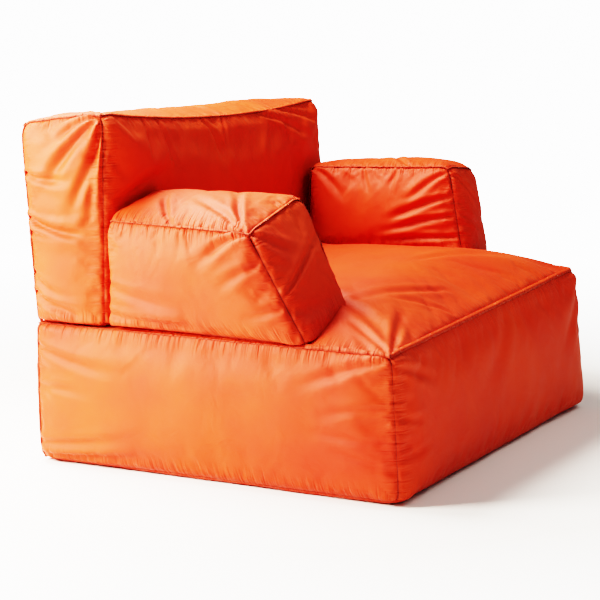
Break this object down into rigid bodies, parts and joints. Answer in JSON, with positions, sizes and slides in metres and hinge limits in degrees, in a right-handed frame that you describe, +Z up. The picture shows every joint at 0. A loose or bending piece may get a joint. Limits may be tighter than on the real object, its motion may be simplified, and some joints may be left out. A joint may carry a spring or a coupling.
{
  "type": "bean bag armchair",
  "caption": "Bead-filled fabric armchair: a box seat, a backrest and two arm cushions sewn together, each with a zipped cover and a liner.",
  "frame": {"origin": "on the floor, under the middle of the chair's bounding box", "axes": "+Z up, the chair faces -Y, +X is the sitter's left"},
  "size_m": [1.028, 0.853, 0.7197],
  "materials": {
    "cover_fabric": "satin",
    "liner_fabric": "matte",
    "polystyrene_beads": "matte",
    "zip_tape": "matte",
    "zip_metal": "satin",
    "hook_and_loop": "matte"
  },
  "bodies": {
    "chair": {"seat_top_panel": "cover_fabric", "seat_front_panel": "cover_fabric", "seat_rear_panel": "cover_fabric", "seat_left_panel": "cover_fabric", "seat_right_panel": "cover_fabric", "seat_bottom_panel": "cover_fabric", "seat_liner": "liner_fabric", "seat_bead_fill": "polystyrene_beads", "seat_liner_loop_strip": "hook_and_loop", "seat_liner_hook_strip": "hook_and_loop", "seat_zip_upper_tape": "zip_tape", "seat_zip_lower_tape": "zip_tape", "back_front_panel": "cover_fabric", "back_rear_panel": "cover_fabric", "back_left_panel": "cover_fabric", "back_right_panel": "cover_fabric", "back_top_panel": "cover_fabric", "back_bottom_panel": "cover_fabric", "back_liner": "liner_fabric", "back_bead_fill": "polystyrene_beads", "back_liner_loop_strip": "hook_and_loop", "back_liner_hook_strip": "hook_and_loop", "back_zip_upper_tape": "zip_tape", "back_zip_lower_tape": "zip_tape", "left_arm_outer_panel": "cover_fabric", "left_arm_inner_panel": "cover_fabric", "left_arm_top_panel": "cover_fabric", "left_arm_front_panel": "cover_fabric", "left_arm_rear_panel": "cover_fabric", "left_arm_bottom_panel": "cover_fabric", "left_arm_liner": "liner_fabric", "left_arm_bead_fill": "polystyrene_beads", "left_arm_liner_loop_strip": "hook_and_loop", "left_arm_liner_hook_strip": "hook_and_loop", "left_arm_zip_upper_tape": "zip_tape", "left_arm_zip_lower_tape": "zip_tape", "right_arm_outer_panel": "cover_fabric", "right_arm_inner_panel": "cover_fabric", "right_arm_top_panel": "cover_fabric", "right_arm_front_panel": "cover_fabric", "right_arm_rear_panel": "cover_fabric", "right_arm_bottom_panel": "cover_fabric", "right_arm_liner": "liner_fabric", "right_arm_bead_fill": "polystyrene_beads", "right_arm_liner_loop_strip": "hook_and_loop", "right_arm_liner_hook_strip": "hook_and_loop", "right_arm_zip_upper_tape": "zip_tape", "right_arm_zip_lower_tape": "zip_tape"},
    "seat_slider": {"seat_zip_slider": "zip_metal"},
    "seat_pull": {"seat_zip_pull": "zip_metal"},
    "back_slider": {"back_zip_slider": "zip_metal"},
    "back_pull": {"back_zip_pull": "zip_metal"},
    "left_arm_slider": {"left_arm_zip_slider": "zip_metal"},
    "left_arm_pull": {"left_arm_zip_pull": "zip_metal"},
    "right_arm_slider": {"right_arm_zip_slider": "zip_metal"},
    "right_arm_pull": {"right_arm_zip_pull": "zip_metal"}
  },
  "joints": [
    {"name": "seat_zip_slide", "type": "slide", "parent": "chair", "child": "seat_slider", "axis": [1, 0, 0], "range_m": [0, 0.6996]},
    {"name": "seat_pull_hinge", "type": "hinge", "parent": "seat_slider", "child": "seat_pull", "pos_m": [-0.3498, 0.39358, 0.062], "axis": [0, 0, 1], "range_deg": [0, 180]},
    {"name": "back_zip_slide", "type": "slide", "parent": "chair", "child": "back_slider", "axis": [1, 0, 0], "range_m": [0, 0.6796]},
    {"name": "back_pull_hinge", "type": "hinge", "parent": "back_slider", "child": "back_pull", "pos_m": [-0.3398, 0.39758, 0.33612], "axis": [0, 0.087, 0.9962], "range_deg": [0, 180]},
    {"name": "left_arm_zip_slide", "type": "slide", "parent": "chair", "child": "left_arm_slider", "axis": [0, 0, 1], "range_m": [0, 0.1096]},
    {"name": "left_arm_pull_hinge", "type": "hinge", "parent": "left_arm_slider", "child": "left_arm_pull", "pos_m": [0.4125, 0.20258, 0.37223], "axis": [1, 0, 0], "range_deg": [0, 30]},
    {"name": "right_arm_zip_slide", "type": "slide", "parent": "chair", "child": "right_arm_slider", "axis": [0, 0, 1], "range_m": [0, 0.1096]},
    {"name": "right_arm_pull_hinge", "type": "hinge", "parent": "right_arm_slider", "child": "right_arm_pull", "pos_m": [-0.4125, 0.20258, 0.37223], "axis": [1, 0, 0], "range_deg": [0, 30]}
  ]
}
